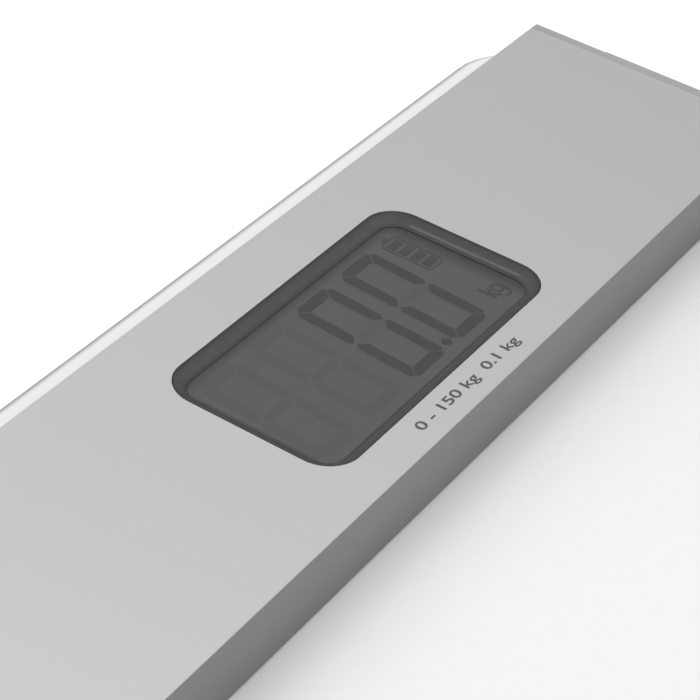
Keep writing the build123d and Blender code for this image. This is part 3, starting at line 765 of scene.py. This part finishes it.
def pane_solid(look):
    """Clear pane with a small rounded edge, on the CAD lens's outline and top face."""
    edge = 0.02 * mm
    corner = 0.8 * mm
    turn = np.linspace(0, np.pi / 2, 5)
    inset = np.concatenate([[edge], edge * (1 - np.sin(turn)), edge * (1 - np.cos(turn))])
    low = lens_high.z - look.pane_thickness
    upper = lens_high.z - edge + edge * np.sin(turn)
    height = np.concatenate([[low], low + edge * (1 - np.cos(turn)), upper])
    half = (lens_high - lens_low) / 2
    return capped_solid(rounded_loop(half.x - inset, half.y - inset, corner - inset, 4, 0), height)


def film_solid(top):
    """Thin plate with sharp edges that fills the window between the panel and the pane."""
    half = (lens_high - lens_low) / 2
    margin = 0.3 * mm
    corner = 0.5 * mm
    loop = rounded_loop([half.x - margin] * 2, [half.y - margin] * 2, [corner] * 2, 4, 0)
    return capped_solid(loop, np.array([lcd_high.z, top]))


def segment_outlines(look):
    """Outlines of the seven segments of every digit, as an array (digits, 7, 6, 2).

    One horizontal and one upright segment are drawn with mitred ends and a cut outer corner,
    and mirrored to the other places. Each digit then leans by the slant and moves to its place.
    """
    half_x = look.digit_width / 2
    half_y = look.digit_height / 2
    stroke = look.stroke
    gap = look.mitre_gap / math.sqrt(2)
    cut = 0.6 * stroke
    waist = 0.1 * stroke
    waist_cut = 0.35 * stroke
    waist_inside = waist + 0.62 * stroke
    top = np.array([
        (-half_x + cut / 2 + gap, half_y - cut / 2),
        (-half_x + cut, half_y),
        (half_x - cut, half_y),
        (half_x - cut / 2 - gap, half_y - cut / 2),
        (half_x - stroke - gap, half_y - stroke),
        (-half_x + stroke + gap, half_y - stroke),
    ])
    left = np.array([
        (-half_x, half_y - cut),
        (-half_x + cut / 2, half_y - cut / 2 - gap),
        (-half_x + stroke, half_y - stroke - gap),
        (-half_x + stroke, waist_inside),
        (-half_x + waist_cut, waist),
        (-half_x, waist + waist_cut),
    ])
    tip = half_x - 0.55 * stroke
    shoulder = half_x - 1.05 * stroke
    thick = 0.43 * stroke
    middle = np.array([
        (-tip, 0),
        (-shoulder, thick),
        (shoulder, thick),
        (tip, 0),
        (shoulder, -thick),
        (-shoulder, -thick),
    ])
    flip_x = np.array([-1, 1])
    flip_y = np.array([1, -1])
    digit = np.stack([
        top, left * flip_x, left * flip_x * flip_y, top * flip_y, left * flip_y, left, middle])
    digit[..., 0] += math.tan(look.slant) * digit[..., 1]
    place = np.arange(look.digit_count) - (look.digit_count - 1) / 2
    row_x = window_centre.x + look.digit_middle[0] + look.digit_pitch * place
    row = np.stack([row_x, np.full(look.digit_count, window_centre.y + look.digit_middle[1])], axis=-1)
    return digit[None] + row[:, None, None, :]


def wound_left(outlines):
    """Outlines with their corners in anticlockwise order, by the sign of their area."""
    following = np.roll(outlines, -1, axis=1)
    area = np.sum(outlines[..., 0] * following[..., 1] - following[..., 0] * outlines[..., 1], axis=1)
    return np.where(area[:, None, None] > 0, outlines, outlines[:, ::-1])


def circle(centre, radius):
    """Outline of one disc: its centre plus radius times cosine and sine."""
    steps = 28
    angle = np.linspace(0, 2 * np.pi, steps, endpoint=False)
    return centre + radius * np.stack([np.cos(angle), np.sin(angle)], axis=-1)[None]


def battery_sign_solid(low, high):
    """Upright battery sign: a rounded frame, a nub on top and four charge bars."""
    centre_x = window_centre.x + 34.8 * mm
    centre_y = window_centre.y + 8.7 * mm
    width, height = 6.2 * mm, 14.2 * mm
    corner = 1.1 * mm
    line = 0.42 * mm
    bar_count = 4
    bar_width, bar_height = 4.4 * mm, 2.4 * mm
    bar_pitch = 3.2 * mm
    nub_width, nub_height = 2.4 * mm, 0.8 * mm
    nub_rise = 0.6 * mm
    inset = np.array([0, 0, line, line])
    frame_loops = rounded_loop(width / 2 - inset, height / 2 - inset, corner - inset, 5, 0)
    shell = ring_solid(frame_loops + np.array([centre_x, centre_y]), np.array([low, high, high, low]))
    bar_y = centre_y + bar_pitch * (np.arange(bar_count) - (bar_count - 1) / 2)
    bars = rectangle(centre_x, bar_y, bar_width, bar_height)
    nub = rectangle(centre_x, centre_y + height / 2 + nub_rise, nub_width, nub_height)
    return joined(shell, prisms(bars, low, high), prisms(nub, low, high))


def ribbon(path, width):
    """Outline of a bent stroke: the path's points moved to both sides, across its local direction.

    At a bend the shift grows by one over the cosine of half the turn, so the width stays even.
    """
    step = np.diff(path, axis=0)
    step = step / np.linalg.norm(step, axis=1, keepdims=True)
    before = np.concatenate([step[:1], step])
    after = np.concatenate([step, step[-1:]])
    across = np.stack([-(before + after)[:, 1], (before + after)[:, 0]], axis=-1)
    across = across / np.linalg.norm(across, axis=1, keepdims=True)
    half_turn = np.sum(across * np.stack([-after[:, 1], after[:, 0]], axis=-1), axis=1, keepdims=True)
    shift = width / 2 * across / half_turn
    return np.concatenate([path - shift, (path + shift)[::-1]])[None]


def unit_sign_solid(low, high):
    """The letters k and g: bent strokes, with the bowl of the g as a ring.

    The hook's points lie at radius times cosine and sine of the angle from the hook's middle.
    Strokes that meet differ a little in height, so that no two faces lie in one plane.
    """
    corner = np.array([window_centre.x + 32.5 * mm, window_centre.y - 15.3 * mm])
    width = 0.72 * mm
    bowl = 1.35 * mm
    bowl_middle = corner + np.array([3.95 * mm, 2.05 * mm])
    hook_middle = corner + np.array([3.95 * mm, 0.0])
    turn = np.radians(np.linspace(0, -140, 9))
    hook = hook_middle + bowl * np.stack([np.cos(turn), np.sin(turn)], axis=-1)
    tail = np.concatenate([[bowl_middle + bowl], hook])
    stem = corner + np.array([(0.36, 0.0), (0.36, 5.2)]) * mm
    arms = corner + np.array([(2.1, 3.4), (0.8, 1.9), (2.4, 0.0)]) * mm
    overlap = 0.004 * mm
    upper = high + overlap
    radius = bowl + width / 2 * np.array([1, 1, -1, -1])
    rounds = rounded_loop(radius, radius, radius, 8, 0) + bowl_middle
    return joined(
        ring_solid(rounds, np.array([low, high, high, low])),
        prisms(ribbon(tail, width), low, upper),
        prisms(ribbon(stem, width), low, high),
        prisms(ribbon(arms, width), low, upper),
    )


def tread_solid(place, look):
    """Foot pad with ring grooves: a section turned about the foot's axis.

    The underside's height over the radius is the groove depth times a cosine that is raised,
    made steep and clipped, so each ring has a flat land and a groove with sloping walls. The
    rim is a quarter circle.
    """
    low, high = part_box("foot_pad_" + place)
    middle = (low + high) / 2
    reach = (high.x - low.x) / 2
    rim = 0.7 * mm
    plain = 4 * mm
    hub = 0.4 * mm
    section_points = 120
    round_points = 72
    wall_slope = 3
    land = 0.6
    ring_pitch = (reach - plain) / look.groove_count
    inner_land = 0.6 * ring_pitch
    outer_land = 0.4 * ring_pitch
    radius = np.linspace(hub, reach - rim, section_points)
    wave = np.cos(2 * np.pi * (radius - ring_pitch) / ring_pitch)
    groove = look.groove_depth * np.clip(wall_slope * (wave - land), 0, 1)
    groove = np.where((radius > inner_land) & (radius < reach - outer_land), groove, 0)
    turn = np.linspace(0, np.pi / 2, 7)[1:]
    radius = np.concatenate([radius, reach - rim + rim * np.sin(turn), [reach, hub]])
    height = np.concatenate([low.z + groove, low.z + rim * (1 - np.cos(turn)), [high.z, high.z]])
    angle = np.linspace(0, 2 * np.pi, round_points, endpoint=False)
    loops = radius[:, None, None] * np.stack([np.cos(angle), np.sin(angle)], axis=-1)[None]
    return capped_solid(loops + np.array([middle.x, middle.y]), height)


# Operators

class SCALE_OT_platform(bpy.types.Operator):
    """Make the satin glass platform with its smooth ground edge"""

    bl_idname = "scale.platform"
    bl_label = "Platform"

    def execute(self, context):
        look = context.scene.scale_look.platform
        slab = new_piece("platform_slab", platform_solid(look), satin_glass(look))
        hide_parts("platform_glass")
        return {"FINISHED"}


class SCALE_OT_console(bpy.types.Operator):
    """Finish the console's profile, caps, screws, tape and base plate, and print its line"""

    bl_idname = "scale.console"
    bl_label = "Console"

    def execute(self, context):
        look = context.scene.scale_look.console
        dress(blasted_aluminium(look), "console_profile")
        silver = moulded("silver_plastic", look.plastic_colour, 0.42)
        dress(silver, "console_end_cap_left", "console_end_cap_right", "battery_drawer")
        dress(metal("screw_steel", (0.55, 0.55, 0.55), 0.3), "end_cap_screws", "board_screws")
        dress(foam(look), "console_tape", "foot_tapes")
        dress(moulded("grey_plastic", look.housing_colour, 0.5), "console_base_plate", "battery_bay")
        start = (window_centre.x + look.print_left, window_centre.y + look.print_baseline)
        ink = moulded(
            "print_ink", look.print_colour, 0.5, grain_size=0.3 * mm, depth=0.004 * mm, spread=0.08)
        ink_low = console_top - 0.01 * mm
        ink_high = console_top + 0.02 * mm
        weight = 0.018
        lettering(
            "capacity_line", look.print_words, start, look.print_length, look.print_height,
            ink_low, ink_high, weight, ink)
        return {"FINISHED"}


class SCALE_OT_display(bpy.types.Operator):
    """Make the bezel, the pane and the signs of the display"""

    bl_idname = "scale.display"
    bl_label = "Display"

    def execute(self, context):
        look = context.scene.scale_look.display
        bezel = new_piece("bezel_frame", centred(bezel_solid(look)), gloss_bezel(look))
        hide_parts("display_bezel")
        pane = new_piece("window_pane", centred(pane_solid(look)), clear_pane(look))
        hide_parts("display_lens")
        ground = display_ground(look)
        dress(ground, "lcd_panel")
        film_top = lcd_high.z + look.film_thickness
        new_piece("display_film", centred(film_solid(film_top)), ground)
        lit_tone = display_tone("display_lit", look.lit_colour, 0.05)
        idle_tone = display_tone("display_idle", look.idle_colour, 0.01)
        outlines = segment_outlines(look)
        showing_zero = np.array([True, True, True, True, True, True, False])
        digits_shown = 2
        shown = np.arange(look.digit_count) >= look.digit_count - digits_shown
        lit = shown[:, None] & showing_zero[None, :]
        bed = film_top - 0.02 * mm
        shade_top = film_top + 0.004 * mm
        idle_top = film_top + 0.01 * mm
        low = film_top + look.segment_lift
        high = low + 0.02 * mm
        segments = prisms(wound_left(outlines[lit]), low, high)
        new_piece("lit_segments", segments, lit_tone)
        idle = prisms(wound_left(outlines[~lit]), bed, idle_top)
        new_piece("idle_segments", idle, idle_tone)
        shade_tone = display_tone("display_shade", look.shade_colour, 0.01)
        shades = wound_left(outlines[lit] + np.array([look.shade_offset, 0]))
        new_piece("segment_shades", prisms(shades, bed, shade_top), shade_tone)
        point_middle = np.array([window_centre.x + 11.2 * mm, window_centre.y - 15.0 * mm])
        point_radius = 1.3 * mm
        point = prisms(circle(point_middle, point_radius), low, high)
        new_piece("decimal_point", point, lit_tone)
        sign_tone = display_tone("display_sign", look.sign_colour, 0.05)
        new_piece("battery_sign", battery_sign_solid(low, high), sign_tone)
        new_piece("unit_sign", unit_sign_solid(low, high), sign_tone)
        return {"FINISHED"}


class SCALE_OT_power(bpy.types.Operator):
    """Finish the cells, their contacts and leads"""

    bl_idname = "scale.power"
    bl_label = "Power"

    def execute(self, context):
        look = context.scene.scale_look.inside
        low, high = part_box("battery_cells")
        dress(cell_wrap(look, low.x, high.x), "battery_cells")
        nickel = metal("nickel_plate", (0.62, 0.60, 0.55), 0.25, stretch=(1, 0.1, 1))
        dress(nickel, "battery_contacts", "battery_link")
        dress(moulded("red_sheath", (0.35, 0.02, 0.02), 0.4), "battery_leads")
        return {"FINISHED"}


class SCALE_OT_electronics(bpy.types.Operator):
    """Finish the board and what it carries, and the unit button"""

    bl_idname = "scale.electronics"
    bl_label = "Electronics"

    def execute(self, context):
        look = context.scene.scale_look.inside
        dress(solder_mask(look), "main_board")
        dress(moulded("black_plastic", (0.02, 0.02, 0.02), 0.45), "controller_chip", "unit_switch")
        white = moulded("white_plastic", (0.75, 0.75, 0.73), 0.45)
        dress(white, "lcd_holder", "cable_header", "power_header", "cable_clips")
        dress(moulded("button_rubber", (0.10, 0.10, 0.105), 0.6), "unit_button")
        return {"FINISHED"}


class SCALE_OT_feet(bpy.types.Operator):
    """Make the treads and finish the housings, bases and load cells"""

    bl_idname = "scale.feet"
    bl_label = "Feet"

    def execute(self, context):
        look = context.scene.scale_look.foot
        rubber = tread_rubber(look)
        housing = moulded("housing_plastic", context.scene.scale_look.console.housing_colour, 0.5)
        steel = metal("cell_steel", (0.50, 0.50, 0.50), 0.35, stretch=(0.1, 1, 1))
        for place in feet:
            tread = new_piece("tread_" + place, tread_solid(place, look), rubber)
            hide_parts("foot_pad_" + place)
            dress(housing, "foot_housing_" + place, "foot_base_" + place)
            dress(steel, "load_cell_" + place)
        dress(rubber, "cable_grommet", "zebra_strips")
        dress(moulded("gauge_film", (0.55, 0.30, 0.06), 0.35), "strain_gauges")
        return {"FINISHED"}


class SCALE_OT_wiring(bpy.types.Operator):
    """Finish the load cell cables"""

    bl_idname = "scale.wiring"
    bl_label = "Wiring"

    def execute(self, context):
        sheath = moulded("cable_sheath", (0.16, 0.16, 0.165), 0.5, grain_size=0.4 * mm)
        dress(sheath, *("cable_" + place for place in feet))
        return {"FINISHED"}


class SCALE_OT_stage(bpy.types.Operator):
    """Set up the floor, the soft overhead light and the camera"""

    bl_idname = "scale.stage"
    bl_label = "Stage"

    def execute(self, context):
        look = context.scene.scale_look.stage
        scene = context.scene
        scene.view_settings.view_transform = "Standard"
        extent = 40.0
        level = -0.1 * mm
        corners = rectangle(0, 0, 2 * extent, 2 * extent)[0]
        mesh = bpy.data.meshes.new("floor")
        mesh.from_pydata([(x, y, level) for x, y in corners.tolist()], [], [(0, 1, 2, 3)])
        mesh.materials.append(pale_floor(look))
        floor = bpy.data.objects.new("floor", mesh)
        scene.collection.objects.link(floor)
        self.light_room(scene, look)
        camera = bpy.data.cameras.new("camera")
        camera.lens = look.camera_lens
        camera.sensor_width = 36
        camera.clip_start = 0.01
        holder = bpy.data.objects.new("camera", camera)
        target = Vector((window_centre.x, window_centre.y, console_top))
        holder.location = target + Vector(look.camera_offset)
        holder.rotation_euler = look.camera_turn
        scene.collection.objects.link(holder)
        scene.camera = holder
        return {"FINISHED"}

    def light_room(self, scene, look):
        """World light: the room's level, a broad soft light overhead and a small bright lamp."""
        world = bpy.data.worlds.new("studio")
        world.use_nodes = True
        scene.world = world
        web = NodeWeb(world.node_tree)
        background = world.node_tree.nodes["Background"]
        place = web.node("ShaderNodeTexCoord").outputs["Generated"]
        broad_angles = (look.light_reach, look.light_core)
        lamp_angles = (look.lamp_reach, 0.5 * look.lamp_reach)
        broad = self.glow(
            web, place, look.light_toward, broad_angles, look.room_strength, look.light_strength)
        lamp = self.glow(web, place, look.lamp_toward, lamp_angles, 0.0, look.lamp_strength)
        web.fill(background.inputs["Color"], (1, 1, 1, 1))
        web.fill(background.inputs["Strength"], web.total(broad, lamp))

    def glow(self, web, place, toward, angles, low, high):
        """A level that rises smoothly from an outer angle to an inner one about a direction."""
        reach, core = angles
        inputs = {0: place, 1: Vector(toward).normalized()}
        closeness = web.node("ShaderNodeVectorMath", inputs, operation="DOT_PRODUCT").outputs["Value"]
        return web.ramp(closeness, math.cos(reach), math.cos(core), low, high)


operators = (
    SCALE_OT_platform,
    SCALE_OT_console,
    SCALE_OT_display,
    SCALE_OT_power,
    SCALE_OT_electronics,
    SCALE_OT_feet,
    SCALE_OT_wiring,
    SCALE_OT_stage,
)
looks = (
    ScalePlatformLook,
    ScaleConsoleLook,
    ScaleDisplayLook,
    ScaleFootLook,
    ScaleInsideLook,
    ScaleStageLook,
    ScaleLook,
)


class SCALE_PT_looks(bpy.types.Panel):
    """Sidebar panel that lists the steps of the scale"""

    bl_idname = "SCALE_PT_looks"
    bl_label = "Scale"
    bl_space_type = "VIEW_3D"
    bl_region_type = "UI"
    bl_category = "Scale"

    def draw(self, context):
        for step in operators:
            self.layout.operator(step.bl_idname)


def register():
    """Add the settings, the steps and the panel to Blender."""
    for item in looks + operators + (SCALE_PT_looks,):
        bpy.utils.register_class(item)
    bpy.types.Scene.scale_look = PointerProperty(type=ScaleLook)


def unregister():
    """Take away what register added."""
    del bpy.types.Scene.scale_look
    for item in reversed(looks + operators + (SCALE_PT_looks,)):
        bpy.utils.unregister_class(item)


def main():
    """Run every step in order."""
    register()
    for step in operators:
        group, action = step.bl_idname.split(".")
        getattr(getattr(bpy.ops, group), action)()


if __name__ == "__main__":
    main()
